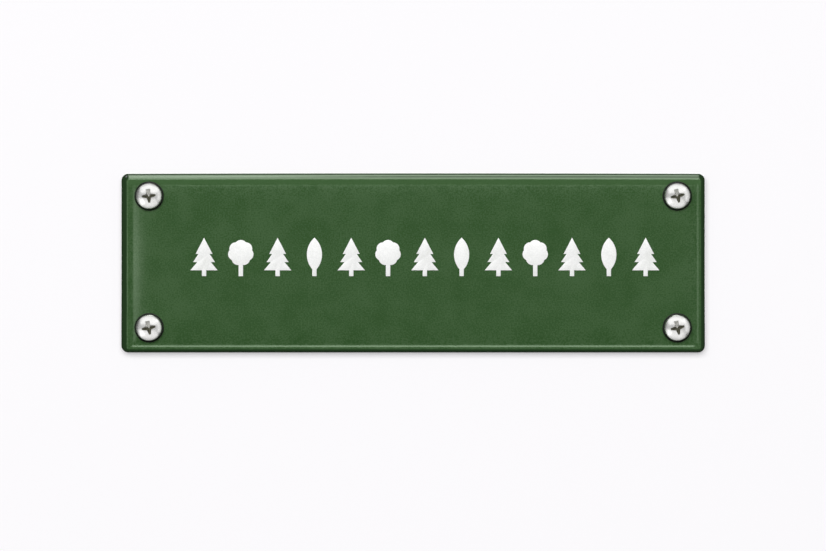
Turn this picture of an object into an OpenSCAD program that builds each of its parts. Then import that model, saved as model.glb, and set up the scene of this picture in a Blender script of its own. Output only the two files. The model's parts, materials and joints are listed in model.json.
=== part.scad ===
// Enamelled steel sign plate with a rolled rim, held to a wall by four pan-head screws.
// X runs along the plate, Z is up, and Y runs into the wall. The wall is the plane Y = 0,
// and the origin is the middle of the four screws on it. All sizes are in millimetres.

/* [Plate] */
// Width of the sign, over the enamel
sign_w = 200; // [180:1:400]
// Height of the sign, over the enamel
sign_h = 61.5; // [50:0.5:160]
// Depth of the sign, from its front face back to the wall
rim_depth = 4; // [3:0.2:12]
// Outer radius of the rolled edge, over the enamel
edge_r = 1.9; // [1.8:0.1:3.4]
// Radius of the flat face's corners, inside the rolled edge
face_corner_r = 0.5; // [0.2:0.1:4]
// Thickness of the pressed steel sheet
sheet_t = 1; // [0.7:0.05:1.2]
// Distance from each end of the sign to the centres of its holes
hole_inset_x = 9.6; // [8:0.1:20]
// Distance from the top and the bottom of the sign to the holes, on average
hole_inset_z = 8.2; // [7.6:0.1:14]
// Height of the middle of the four holes above the middle of the sign
hole_rise = 0.3; // [-1:0.1:1]

/* [Enamel] */
// Thickness of the green enamel on the front and round the rim
green_t = 0.3; // [0.2:0.05:0.4]
// Thickness of the dark ground enamel on the back
ground_t = 0.15; // [0.1:0.05:0.25]
// Thickness of the white enamel trees
white_t = 0.12; // [0.08:0.02:0.3]
// Width of bare steel that the enamel leaves at the rim's back edge
bare_edge = 0.4; // [0.1:0.1:1]

/* [White trees] */
// Number of trees in the row
tree_count = 13; // [3:1:15]
// Distance from one tree's trunk to the next
tree_pitch = 12.6; // [11:0.1:13]
// Distance of the row's middle to the right of the sign's middle
tree_row_x = 4; // [-6:0.1:6]
// Height of the trees' feet from the middle of the sign
tree_foot_z = -4.4; // [-10:0.1:2]
// Width of every trunk
trunk_w = 1.5; // [1:0.1:2.5]
// Height of a conifer
conifer_h = 13.2; // [10:0.1:18]
// Width of a conifer's lowest tier
conifer_w = 9.4; // [7:0.1:11]
// Height of a conifer's trunk below its lowest tier
conifer_trunk_h = 2; // [1:0.1:3]
// Number of tiers on a conifer
tier_count = 3; // [2:1:4]
// Height from one tier's foot to the next
tier_rise = 2.8; // [2:0.1:3.2]
// Width that each tier loses to the one below it
tier_loss = 1.8; // [0.5:0.1:2]
// Height of a round tree
round_tree_h = 12.4; // [10:0.1:18]
// Diameter of a round tree's crown
crown_d = 8.8; // [7:0.1:11]
// Diameter of each lobe round the crown
lobe_d = 4.4; // [3:0.1:5]
// Number of lobes round the crown
lobe_count = 7; // [5:1:9]
// Height of a poplar
poplar_h = 13.2; // [10:0.1:18]
// Width of a poplar's crown
poplar_w = 5.2; // [4:0.1:8]
// Height of a poplar's trunk below its crown
poplar_trunk_h = 1.6; // [1:0.1:3]

/* [Screws] */
// Length of a screw under its head
screw_l = 30; // [24:1:50]
// Diameter of the pan head
head_d = 8.9; // [8:0.1:9.6]
// Height of the pan head
head_h = 3; // [2.6:0.1:3.6]
// Height of the straight side below the head's dome
head_side_h = 1.1; // [0.5:0.1:1.2]
// Diameter of the plain shank
shank_d = 3.3; // [3:0.1:4]
// Length of the plain shank under the head
shank_l = 12; // [8:0.5:18]
// Diameter over the thread
thread_d = 4.5; // [4:0.1:5]
// Depth of the thread
thread_depth = 0.75; // [0.5:0.05:0.9]
// Distance that the screw travels in one turn
thread_pitch = 2; // [1.6:0.1:2.6]
// Width of the thread's ridge at its foot
ridge_foot_w = 1.1; // [0.8:0.05:1.4]
// Width of the thread's ridge at its crest
ridge_crest_w = 0.24; // [0.1:0.02:0.5]
// Length of the screw's pointed end
point_l = 5; // [4:0.5:8]
// Length of the bare tip before the thread starts
bare_tip_l = 1; // [0.6:0.1:2]
// Width across the cross recess, at its mouth
recess_d = 4.8; // [4:0.1:5.5]
// Depth of the cross recess
recess_depth = 2.2; // [1.8:0.1:2.5]
// Width of each wing of the cross recess
recess_wing_w = 1.35; // [0.9:0.05:1.6]
// Width across the cross recess, at its foot
recess_foot_d = 2.3; // [1.8:0.1:2.8]
// Anticlockwise turn of the top left screw's cross
top_left_turn = 6; // [0:1:89]
// Anticlockwise turn of the top right screw's cross
top_right_turn = 13; // [0:1:89]
// Anticlockwise turn of the bottom left screw's cross
bottom_left_turn = 12; // [0:1:89]
// Anticlockwise turn of the bottom right screw's cross
bottom_right_turn = 13; // [0:1:89]

/* [Washers and spacers] */
// Outer diameter of the washer under each head
washer_d = 10; // [9.8:0.1:12]
// Thickness of the washer under each head
washer_t = 1; // [0.7:0.1:1.5]
// Radius of the washer's rounded outer edges
washer_edge_r = 0.3; // [0.1:0.05:0.3]
// Outer diameter of the spacer between the plate and the wall
spacer_d = 9.4; // [8:0.1:10]
// Radius of the spacer's rounded outer edges
spacer_edge_r = 0.4; // [0.1:0.05:1]

/* [Wall plugs] */
// Length of a wall plug
plug_l = 30; // [26:1:50]
// Wall of a plug, round the room for the thread
plug_wall = 0.65; // [0.55:0.05:1.2]
// Length of the plug's closed collar
plug_collar_l = 7; // [5:0.5:9]
// Length of the plug's closed end
plug_end_l = 3; // [2:0.5:5]
// Width of the slot between the plug's two legs
plug_slot_w = 0.9; // [0.6:0.1:1.4]
// Depth of the teeth round the plug
tooth_depth = 0.3; // [0.1:0.05:0.35]
// Distance from one tooth to the next
tooth_pitch = 2.4; // [2:0.1:3.5]
// Bevel at both ends of the plug
plug_bevel = 0.25; // [0.1:0.05:0.3]
// Height over the plug's core of the two fins that stop it from turning
fin_h = 0.25; // [0.1:0.05:0.3]
// Width of each fin
fin_w = 0.8; // [0.6:0.1:1.2]
// Length of each fin
fin_l = 9; // [5:0.5:14]

/* [Clearances] */
// Room round the thread in a wall plug
plug_clearance = 0.1; // [0.05:0.01:0.2]
// Room round the thread in the washers and spacers
washer_clearance = 0.15; // [0.1:0.01:0.3]
// Room round the thread in the sign's holes
hole_clearance = 0.45; // [0.2:0.05:0.8]

/* [Hidden] */
$fn = 64;
corners = ["top_left", "top_right", "bottom_left", "bottom_right"];

// Cuts run this far past the faces that they open.
past = 0.5;

// The middle of the sign, seen from the middle of its holes.
sign_mid_z = -hole_rise;

// The steel and its coats bend about one line, which lies edge_r inside the outline.
bend_x = sign_w / 2 - edge_r;
bend_z = sign_h / 2 - edge_r;
bend_y = edge_r - rim_depth;
steel_outer_r = edge_r - green_t;
steel_inner_r = steel_outer_r - sheet_t;
ground_inner_r = steel_inner_r - ground_t;
front_y = -rim_depth;
back_y = bend_y - ground_inner_r;

// The middles of the face's rounded corners.
turn_x = bend_x - face_corner_r;
turn_z = bend_z - face_corner_r;

// The screws, washers, spacers and plugs share the holes' centres and the thread's size.
hole_x = sign_w / 2 - hole_inset_x;
hole_z = sign_h / 2 - hole_inset_z;
hole_d = thread_d + 2 * hole_clearance;
washer_bore_d = thread_d + 2 * washer_clearance;
plug_bore_d = thread_d + 2 * plug_clearance;
plug_d = plug_bore_d + 2 * plug_wall;
head_seat_y = front_y - washer_t;

// The head's dome is a cap of a ball that meets the head's side and its top.
dome_h = head_h - head_side_h;
dome_r = (pow(head_d / 2, 2) + pow(dome_h, 2)) / (2 * dome_h);
recess_mouth_h = head_h - dome_r + sqrt(pow(dome_r, 2) - pow(recess_d / 2, 2));

// The thread is one closed surface, which winds from the screw's point up into the shank.
core_r = thread_d / 2 - thread_depth;
steps_per_turn = 16;
thread_l = screw_l - shank_l - bare_tip_l - ridge_foot_w;
thread_steps = floor(thread_l / thread_pitch * steps_per_turn);

// The ridge starts and ends as a low step, and rises to its full height over these steps.
first_rise = 0.3;
last_rise = 0.2;
steps_to_rise = 14;
steps_to_sink = 8;

function corner_x(corner) = corner == "top_left" || corner == "bottom_left" ? -hole_x : hole_x;

function corner_z(corner) = corner == "top_left" || corner == "top_right" ? hole_z : -hole_z;

function corner_turn(corner) =
  corner == "top_left" ? top_left_turn :
  corner == "top_right" ? top_right_turn :
  corner == "bottom_left" ? bottom_left_turn : bottom_right_turn;

// Moves a shape from the origin to one corner's hole.
module at_hole(corner) {
  translate([corner_x(corner), 0, corner_z(corner)]) children();
}

// Turns a shape so that what was drawn up along Z points out at the viewer.
module facing_out() {
  rotate([90, 0, 0]) children();
}

// Turns a shape so that what was drawn up along Z points into the wall.
module into_wall() {
  rotate([-90, 0, 0]) children();
}

// Section of a pressed layer at the rim, from the bend line outwards and down to its back edge.
module rim_section(outer_r, inner_r, rim_l) {
  intersection() {
    difference() {
      circle(outer_r);
      circle(inner_r);
    }
    square(outer_r);
  }
  translate([inner_r, -rim_l]) square([outer_r - inner_r, rim_l]);
}

// One of a pressed layer's four sides, half_l to each side of its middle.
module rim_side(outer_r, inner_r, rim_l, half_l) {
  rotate([90, 0, 0]) linear_extrude(2 * half_l, center = true) rim_section(outer_r, inner_r, rim_l);
}

// Outline of the flat face, which has rounded corners.
module face_outline() {
  square([2 * bend_x, 2 * turn_z], center = true);
  square([2 * turn_x, 2 * bend_z], center = true);
  for (x = [-turn_x, turn_x], z = [-turn_z, turn_z]) translate([x, z]) circle(face_corner_r);
}

// A pressed layer with a flat face, four rolled sides, four rolled corners and four holes.
// Its rim stops the distance lift short of the wall.
module pressed_layer(outer_r, inner_r, lift) {
  rim_l = -bend_y - lift;
  difference() {
    translate([0, bend_y, sign_mid_z]) facing_out() {
      translate([0, 0, inner_r]) linear_extrude(outer_r - inner_r) face_outline();
      for (turn = [0, 180]) {
        rotate([0, 0, turn]) translate([bend_x, 0, 0]) rim_side(outer_r, inner_r, rim_l, turn_z);
        rotate([0, 0, turn + 90]) translate([bend_z, 0, 0])
          rim_side(outer_r, inner_r, rim_l, turn_x);
      }
      for (flip_x = [0, 1], flip_z = [0, 1])
        mirror([flip_x, 0, 0]) mirror([0, flip_z, 0]) translate([turn_x, turn_z, 0])
          rotate_extrude(angle = 90) translate([face_corner_r, 0])
            rim_section(outer_r, inner_r, rim_l);
    }
    for (corner = corners)
      at_hole(corner) translate([0, back_y + past, 0]) facing_out()
        cylinder(d = hole_d, h = back_y - front_y + 2 * past);
  }
}

module steel_plate() {
  color("dimgray") pressed_layer(steel_outer_r, steel_inner_r, 0);
}

module green_enamel() {
  color([0.235, 0.347, 0.21]) pressed_layer(edge_r, steel_outer_r, bare_edge);
}

module ground_enamel() {
  color([0.1, 0.11, 0.13]) pressed_layer(steel_inner_r, ground_inner_r, bare_edge);
}

// A conifer of stacked tiers, with its foot at the origin.
module conifer() {
  tier_h = conifer_h - conifer_trunk_h - (tier_count - 1) * tier_rise;
  translate([-trunk_w / 2, 0]) square([trunk_w, conifer_trunk_h + tier_h / 2]);
  for (tier = [0 : tier_count - 1]) {
    half_w = (conifer_w - tier * tier_loss) / 2;
    translate([0, conifer_trunk_h + tier * tier_rise])
      polygon([[-half_w, 0], [half_w, 0], [0, tier_h]]);
  }
}

// A broad-leaved tree with a lobed crown.
module round_tree() {
  crown_z = round_tree_h - crown_d / 2;
  translate([-trunk_w / 2, 0]) square([trunk_w, crown_z]);
  translate([0, crown_z]) {
    circle(d = crown_d - lobe_d / 2);
    for (lobe = [0 : lobe_count - 1])
      rotate(90 + lobe * 360 / lobe_count) translate([(crown_d - lobe_d) / 2, 0]) circle(d = lobe_d);
  }
}

// A slender tree whose crown is the overlap of two discs.
module poplar() {
  leaf_h = poplar_h - poplar_trunk_h;
  leaf_r = (pow(leaf_h, 2) + pow(poplar_w, 2)) / (4 * poplar_w);
  translate([-trunk_w / 2, 0]) square([trunk_w, poplar_trunk_h + leaf_h / 2]);
  translate([0, poplar_trunk_h + leaf_h / 2]) intersection() {
    translate([leaf_r - poplar_w / 2, 0]) circle(leaf_r);
    translate([poplar_w / 2 - leaf_r, 0]) circle(leaf_r);
  }
}

module white_trees() {
  color("white") translate([0, front_y, sign_mid_z]) facing_out() linear_extrude(white_t)
    for (tree = [0 : tree_count - 1])
      translate([tree_row_x + (tree - (tree_count - 1) / 2) * tree_pitch, tree_foot_z]) {
        if (tree % 2 == 0) conifer();
        if (tree % 4 == 1) round_tree();
        if (tree % 4 == 3) poplar();
      }
}

// Radius of the screw's core at a height below the head, down to its point.
function core_r_at(z) = core_r * min(1, (z + screw_l) / point_l);

// How far the ridge has risen at a step, from 0 at the core to 1 at the thread's full height.
function ridge_rise_at(step) = min(
  1,
  first_rise + (1 - first_rise) * step / steps_to_rise,
  last_rise + (1 - last_rise) * (thread_steps - step) / steps_to_sink
);

// A point of the thread's section: the ridge's foot, its crest from one side to the other,
// and its other foot.
function thread_point(step, part) =
  let (a = step * 360 / steps_per_turn)
  let (ridge_z = part == 0 ? 0 : part == 3 ? ridge_foot_w :
    (ridge_foot_w + (part == 1 ? -ridge_crest_w : ridge_crest_w)) / 2)
  let (z = bare_tip_l - screw_l + step * thread_pitch / steps_per_turn + ridge_z)
  let (on_crest = part == 1 || part == 2)
  let (r = core_r_at(z) + (on_crest ? thread_depth * ridge_rise_at(step) : 0))
  [r * cos(a), r * sin(a), z];

// The points run up the thread, four to a step, and then round the top and to the tip.
function foot_at(step) = 4 * step;
function top_at(step) = 4 * (thread_steps + 1) + step % steps_per_turn;

module thread() {
  turn = steps_per_turn;
  end = thread_steps;
  last_turn = thread_steps - turn;
  tip = top_at(0) + turn;
  points = concat(
    [for (step = [0 : end], part = [0 : 3]) thread_point(step, part)],
    [for (step = [0 : turn - 1])
      let (a = step * 360 / turn)
      [core_r * cos(a), core_r * sin(a), past - shank_l]],
    [[0, 0, -screw_l]]
  );
  flanks = [for (step = [0 : end - 1], part = [0 : 2])
    let (a = foot_at(step) + part)
    [[a, a + 1, a + 5], [a, a + 5, a + 4]]];
  lands = [for (step = [0 : last_turn - 1])
    let (a = foot_at(step) + 3)
    let (b = foot_at(step + turn))
    [[a, b, b + 4], [a, b + 4, a + 4]]];
  top_land = [for (step = [last_turn + 1 : end - 1])
    let (a = foot_at(step) + 3)
    [[a, top_at(step), top_at(step + 1)], [a, top_at(step + 1), a + 4]]];
  // Where the ridge ends, the land beside it also meets the ridge's two feet.
  first_foot = foot_at(last_turn) + 3;
  beside_end = [for (pair = [
      [first_foot, foot_at(end)], [foot_at(end), foot_at(end) + 3],
      [foot_at(end) + 3, top_at(last_turn)], [top_at(last_turn), top_at(last_turn + 1)]
    ]) [first_foot + 4, pair[0], pair[1]]];
  point_fan = [for (step = [0 : turn - 2]) [tip, foot_at(step), foot_at(step + 1)]];
  beside_start = [for (pair = [[foot_at(turn), 3], [3, 0], [0, tip]])
    [foot_at(turn - 1), pair[0], pair[1]]];
  ridge_ends = [[3, 2, 1], [3, 1, 0],
    [foot_at(end), foot_at(end) + 1, foot_at(end) + 2],
    [foot_at(end), foot_at(end) + 2, foot_at(end) + 3]];
  top_face = [[for (step = [turn - 1 : -1 : 0]) top_at(step)]];
  polyhedron(points, concat(
    [for (pair = concat(flanks, lands, top_land)) each pair],
    beside_end, point_fan, beside_start, ridge_ends, top_face
  ));
}

module head_dome() {
  cylinder(d = head_d, h = head_side_h);
  intersection() {
    translate([0, 0, head_h - dome_r]) sphere(dome_r);
    translate([0, 0, head_side_h]) cylinder(d = head_d, h = dome_h);
  }
}

// The room for a cross-point driver, which narrows to its foot.
module cross_recess() {
  cut_h = recess_depth + past;
  widening = (recess_d - recess_foot_d) / 2 / (recess_mouth_h - head_h + recess_depth);
  translate([0, 0, head_h - recess_depth]) intersection() {
    cylinder(r1 = recess_foot_d / 2, r2 = recess_foot_d / 2 + widening * cut_h, h = cut_h);
    union() {
      for (turn = [0, 90])
        rotate([0, 0, turn]) translate([-recess_d, -recess_wing_w / 2, 0])
          cube([2 * recess_d, recess_wing_w, cut_h]);
    }
  }
}

module screw(corner) {
  color("silver") at_hole(corner) translate([0, head_seat_y, 0]) facing_out() {
    difference() {
      head_dome();
      rotate([0, 0, corner_turn(corner)]) cross_recess();
    }
    translate([0, 0, -shank_l]) cylinder(d = shank_d, h = shank_l);
    thread();
  }
}

// A ring from Z = 0 up, with its outer edges rounded.
module rounded_ring(outer_d, bore_d, ring_h, round_r) {
  wall = (outer_d - bore_d) / 2;
  rotate_extrude() translate([bore_d / 2, 0]) {
    square([wall - round_r, ring_h]);
    translate([0, round_r]) square([wall, ring_h - 2 * round_r]);
    for (z = [round_r, ring_h - round_r]) translate([wall - round_r, z]) circle(round_r);
  }
}

module washer(corner) {
  color([0.08, 0.08, 0.08]) at_hole(corner) translate([0, front_y, 0]) facing_out()
    rounded_ring(washer_d, washer_bore_d, washer_t, washer_edge_r);
}

module spacer(corner) {
  color([0.13, 0.13, 0.13]) at_hole(corner) facing_out()
    rounded_ring(spacer_d, washer_bore_d, -back_y, spacer_edge_r);
}

// Outline of the plug's wall, as [radius, depth into the wall]. Each tooth is steep
// on its side towards the wall's surface, so that it holds against a pull.
function plug_outline() =
  let (bore_r = plug_bore_d / 2)
  let (outer_r = plug_d / 2)
  let (tooth_count = floor((plug_l - plug_collar_l - plug_end_l) / tooth_pitch))
  concat(
    [[bore_r, 0], [outer_r - plug_bevel, 0], [outer_r, plug_bevel], [outer_r, plug_collar_l]],
    [for (tooth = [0 : tooth_count - 1], part = [0, 1])
      part == 0
        ? [outer_r - tooth_depth, plug_collar_l + tooth * tooth_pitch + tooth_depth]
        : [outer_r, plug_collar_l + tooth * tooth_pitch + 2 * tooth_depth]],
    [[outer_r - tooth_depth, plug_collar_l + tooth_count * tooth_pitch],
     [outer_r - tooth_depth, plug_l - plug_bevel],
     [outer_r - tooth_depth - plug_bevel, plug_l], [bore_r, plug_l]]
  );

module plug(corner) {
  slot_l = plug_l - plug_collar_l - plug_end_l;
  core_wall = plug_wall - tooth_depth;
  color("lightgray") at_hole(corner) into_wall() difference() {
    union() {
      rotate_extrude() polygon(plug_outline());
      for (side = [0, 180])
        rotate([0, 0, side])
          translate([(plug_bore_d + core_wall) / 2, -fin_w / 2, plug_collar_l])
            cube([core_wall / 2 + fin_h, fin_w, fin_l]);
    }
    translate([-plug_slot_w / 2, -plug_d, plug_collar_l]) cube([plug_slot_w, 2 * plug_d, slot_l]);
  }
}

steel_plate();
green_enamel();
ground_enamel();
white_trees();
for (corner = corners) {
  screw(corner);
  washer(corner);
  spacer(corner);
  plug(corner);
}
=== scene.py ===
"""Dresses the enamelled steel sign: its coats, its row of trees, and what fixes it to a wall."""

import json
import logging
import math
from dataclasses import dataclass, field
from enum import Enum
from itertools import pairwise
from typing import Callable

import bmesh
import bpy
from mathutils import Matrix, Vector

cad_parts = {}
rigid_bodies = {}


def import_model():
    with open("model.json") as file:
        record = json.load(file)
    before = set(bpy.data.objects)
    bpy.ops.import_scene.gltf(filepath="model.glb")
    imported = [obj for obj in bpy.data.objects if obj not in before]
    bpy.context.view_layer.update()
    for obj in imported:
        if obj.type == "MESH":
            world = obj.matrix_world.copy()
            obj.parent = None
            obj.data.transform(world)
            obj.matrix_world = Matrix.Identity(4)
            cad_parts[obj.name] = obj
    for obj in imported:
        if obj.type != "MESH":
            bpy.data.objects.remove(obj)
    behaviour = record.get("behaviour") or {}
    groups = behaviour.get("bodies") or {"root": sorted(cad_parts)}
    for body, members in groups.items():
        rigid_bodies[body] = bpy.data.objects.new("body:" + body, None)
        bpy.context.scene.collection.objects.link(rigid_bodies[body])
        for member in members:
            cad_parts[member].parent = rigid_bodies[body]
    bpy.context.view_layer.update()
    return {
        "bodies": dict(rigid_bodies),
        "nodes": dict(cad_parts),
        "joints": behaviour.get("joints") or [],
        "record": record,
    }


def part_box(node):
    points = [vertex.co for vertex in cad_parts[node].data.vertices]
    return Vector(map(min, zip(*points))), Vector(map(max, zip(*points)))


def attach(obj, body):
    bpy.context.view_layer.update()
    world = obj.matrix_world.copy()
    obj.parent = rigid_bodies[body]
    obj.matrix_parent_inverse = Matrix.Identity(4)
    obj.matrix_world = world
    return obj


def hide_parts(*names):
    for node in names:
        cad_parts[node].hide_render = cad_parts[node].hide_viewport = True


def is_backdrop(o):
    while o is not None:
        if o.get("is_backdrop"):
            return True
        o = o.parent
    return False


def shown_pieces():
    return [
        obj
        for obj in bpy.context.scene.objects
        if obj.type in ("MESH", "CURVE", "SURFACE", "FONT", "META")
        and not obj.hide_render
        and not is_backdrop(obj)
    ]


MM = 0.001
FACING = 0.9  # the least share of a unit normal along an axis, for a face that looks that way
LOG = logging.getLogger("enamel_sign")

Point = tuple[float, float]
Colour = tuple[float, float, float]


class Corner(Enum):
    """The four corners of the plate, each with a screw, a washer, a spacer and a plug."""

    TOP_LEFT = "top_left"
    TOP_RIGHT = "top_right"
    BOTTOM_LEFT = "bottom_left"
    BOTTOM_RIGHT = "bottom_right"


class Tree(Enum):
    """The kinds of tree in the white row."""

    CONIFER = "conifer"
    ROUND = "round_tree"
    POPLAR = "poplar"


# Workpieces


class Workpiece:
    """A mesh object that is shaped as by hand: edit-mode operators on what is picked, then modifiers."""

    seam: float = 0.001 * MM

    def __init__(self, name: str) -> None:
        """Takes over the primitive that was just added.

        Args:
            name: The object's new name.
        """
        self.obj = bpy.context.object
        self.obj.name = name
        self.obj.data.name = name

    @classmethod
    def box(cls, name: str, low: Vector, high: Vector) -> "Workpiece":
        """Starts from a cube that fills a box.

        Args:
            name: The object's name.
            low: The box's lowest corner.
            high: The box's highest corner.

        Returns:
            The new workpiece, out of edit mode.
        """
        deselect_all()
        bpy.ops.mesh.primitive_cube_add(size=1, location=(low + high) / 2, scale=high - low)
        piece = cls(name)
        piece.settle()
        return piece

    @classmethod
    def round_block(cls, name: str, radius: float, sides: int, at: Point, depth: float) -> "Workpiece":
        """Starts from a round block that stands on the XY plane.

        Args:
            name: The object's name.
            radius: The block's radius.
            sides: Its number of sides.
            at: The middle of its foot.
            depth: Its height.

        Returns:
            The new workpiece, out of edit mode.
        """
        deselect_all()
        bpy.ops.mesh.primitive_circle_add(vertices=sides, radius=radius, fill_type="NGON", location=(*at, 0))
        piece = cls(name)
        piece.settle()
        piece.edit()
        bpy.ops.mesh.select_all(action="SELECT")
        bpy.ops.mesh.extrude_region_move(TRANSFORM_OT_translate={"value": (0, 0, depth)})
        bpy.ops.mesh.select_all(action="SELECT")
        bpy.ops.mesh.normals_make_consistent(inside=False)
        piece.rest()
        return piece

    @classmethod
    def lathe(cls, name: str, outline: list[Point], steps: int) -> "Workpiece":
        """Turns an outline round the Z axis.

        Args:
            name: The object's name.
            outline: The outline's points, each a radius and a height. It starts and ends on the
                axis, or ends where it starts.
            steps: The number of steps in a full turn.

        Returns:
            The new workpiece, closed, with its faces pointing outwards.
        """
        deselect_all()
        bpy.ops.mesh.primitive_plane_add(size=MM)
        piece = cls(name)
        piece.edit()
        bpy.ops.mesh.select_mode(type="VERT")
        bpy.ops.mesh.select_all(action="SELECT")
        bpy.ops.mesh.merge(type="CENTER")
        bpy.ops.transform.translate(value=(outline[0][0], 0, outline[0][1]))
        for here, there in pairwise(outline):
            step = (there[0] - here[0], 0, there[1] - here[1])
            bpy.ops.mesh.extrude_vertices_move(TRANSFORM_OT_translate={"value": step})
        bpy.ops.mesh.select_all(action="SELECT")
        bpy.ops.mesh.spin(steps=steps, angle=math.tau, center=(0, 0, 0), axis=(0, 0, 1))
        piece.close_seams()
        piece.rest()
        return piece

    def take(self) -> None:
        """Makes the object the only one that is selected, and the active one."""
        deselect_all()
        self.obj.select_set(True)
        bpy.context.view_layer.objects.active = self.obj

    def edit(self) -> None:
        """Enters edit mode."""
        self.take()
        bpy.ops.object.mode_set(mode="EDIT")

    def rest(self) -> None:
        """Leaves edit mode."""
        bpy.ops.object.mode_set(mode="OBJECT")

    def settle(self) -> None:
        """Applies the selected object's place, turn and size to its mesh."""
        bpy.ops.object.transform_apply(location=True, rotation=True, scale=True)

    def pick(self, kind: str, test: Callable[..., bool]) -> None:
        """Selects the elements of one kind that pass a test.

        Args:
            kind: VERT, EDGE or FACE.
            test: Says whether an element is wanted.
        """
        bpy.ops.mesh.select_mode(type=kind)
        bpy.ops.mesh.select_all(action="DESELECT")
        mesh = bmesh.from_edit_mesh(self.obj.data)
        mesh.normal_update()
        for element in {"VERT": mesh.verts, "EDGE": mesh.edges, "FACE": mesh.faces}[kind]:
            element.select_set(test(element))
        if kind == "VERT":
            mesh.select_flush(True)
        bmesh.update_edit_mesh(self.obj.data)

    def pick_verts(self, test: Callable[[Vector], bool]) -> None:
        """Selects the vertices whose place passes a test."""
        self.pick("VERT", lambda vert: test(vert.co))

    def pick_edges(self, test: Callable[[Vector, Vector], bool]) -> None:
        """Selects the edges whose two ends pass a test."""
        self.pick("EDGE", lambda edge: test(edge.verts[0].co, edge.verts[1].co))

    def pick_faces(self, test: Callable[[Vector, Vector], bool]) -> None:
        """Selects the faces whose middle and normal pass a test."""
        self.pick("FACE", lambda face: test(face.calc_center_median(), face.normal))

    def keep_short_edges(self, longest: float) -> None:
        """Leaves only the short ones selected among the selected faces' outer edges.

        Args:
            longest: The length of the longest edge that is kept.
        """
        bpy.ops.mesh.region_to_loop()
        mesh = bmesh.from_edit_mesh(self.obj.data)
        for edge in mesh.edges:
            if edge.select and edge.calc_length() > longest:
                edge.select_set(False)
        mesh.select_flush_mode()
        bmesh.update_edit_mesh(self.obj.data)

    def close_seams(self) -> None:
        """Merges what lies in one place and points all faces outwards, in edit mode."""
        bpy.ops.mesh.select_all(action="SELECT")
        bpy.ops.mesh.remove_doubles(threshold=self.seam)
        bpy.ops.mesh.normals_make_consistent(inside=False)

    def cut_planes(self, places: list[float], normal: Vector) -> None:
        """Cuts new edges across the whole mesh, in edit mode.

        Args:
            places: The planes' distances along their normal.
            normal: The planes' shared normal.
        """
        for place in places:
            bpy.ops.mesh.select_all(action="SELECT")
            bpy.ops.mesh.bisect(plane_co=normal * place, plane_no=normal)

    def modify(self, kind: str, **settings: object) -> None:
        """Adds a modifier and applies it.

        Args:
            kind: The modifier's type.
            **settings: Its settings by name.
        """
        self.take()
        modifier = self.obj.modifiers.new(kind.lower(), kind)
        for name, value in settings.items():
            setattr(modifier, name, value)
        bpy.ops.object.modifier_apply(modifier=modifier.name)

    def subtract(self, *cutters: "Workpiece") -> None:
        """Cuts other workpieces out of this one, and throws them away."""
        for cutter in cutters:
            self.modify("BOOLEAN", operation="DIFFERENCE", solver="EXACT", object=cutter.obj)
            cutter.discard()

    def unite(self, *others: "Workpiece") -> None:
        """Fuses other workpieces to this one, and throws them away."""
        for other in others:
            self.modify("BOOLEAN", operation="UNION", solver="EXACT", object=other.obj)
            other.discard()

    def join(self, *others: "Workpiece") -> None:
        """Puts other workpieces in the same object, their shells kept as they are."""
        self.take()
        for other in others:
            other.obj.select_set(True)
        bpy.ops.object.join()

    def soften_edges(self, width: float, angle: float, segments: int) -> None:
        """Rounds every edge that is sharper than an angle in degrees."""
        self.modify(
            "BEVEL", width=width, segments=segments, limit_method="ANGLE",
            angle_limit=math.radians(angle), miter_outer="MITER_ARC",
        )

    def smooth(self, angle: float = 35.0) -> None:
        """Shades smooth, apart from edges sharper than an angle in degrees."""
        self.take()
        bpy.ops.object.shade_smooth_by_angle(angle=math.radians(angle))

    def place(self, matrix: Matrix) -> None:
        """Moves the mesh, and leaves its object at the origin."""
        self.take()
        self.obj.matrix_world = matrix
        self.settle()

    def twin(self, name: str) -> "Workpiece":
        """Copies the workpiece with a mesh of its own.

        Args:
            name: The copy's name.

        Returns:
            The copy.
        """
        copy = self.obj.copy()
        copy.data = self.obj.data.copy()
        bpy.context.collection.objects.link(copy)
        bpy.context.view_layer.objects.active = copy
        return Workpiece(name)

    def discard(self) -> None:
        """Deletes the workpiece."""
        bpy.data.objects.remove(self.obj)

    def mark(self, name: str, rule: Callable[[Vector], float]) -> None:
        """Stores a number at each vertex, which a rule works out from its place, for a material."""
        attribute = self.obj.data.attributes.new(name, "FLOAT", "POINT")
        attribute.data.foreach_set("value", [rule(vert.co) for vert in self.obj.data.vertices])

    def dress(self, body: str, slot: str, finish: "Finish", replaces: str) -> None:
        """Gives the piece its finish, its body and the CAD node that it stands for.

        Args:
            body: The body that the piece rides on.
            slot: The record's material slot; not used.
            finish: The piece's finish.
            replaces: The CAD node's name.
        """
        self.obj.data.materials.clear()
        self.obj.data.materials.append(finish.material())
        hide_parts(replaces)
        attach(self.obj, body)
        LOG.info("%s: %d faces, rides on %s", self.obj.name, len(self.obj.data.polygons), body)


def deselect_all() -> None:
    """Deselects every object."""
    for obj in bpy.context.selected_objects:
        obj.select_set(False)


def arc(centre: Point, radius: float, start: float, end: float, count: int) -> list[Point]:
    """Places points along an arc in even steps, from a start to an end in degrees, both among them."""
    angles = [math.radians(start + (end - start) * i / count) for i in range(count + 1)]
    return [(centre[0] + radius * math.cos(a), centre[1] + radius * math.sin(a)) for a in angles]


def facing_out(place: Vector, turn: float = 0.0) -> Matrix:
    """Points what was made up along Z at the viewer, turned anticlockwise by some degrees."""
    return (
        Matrix.Translation(place)
        @ Matrix.Rotation(math.radians(90), 4, "X")
        @ Matrix.Rotation(math.radians(turn), 4, "Z")
    )


# Finishes


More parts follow.
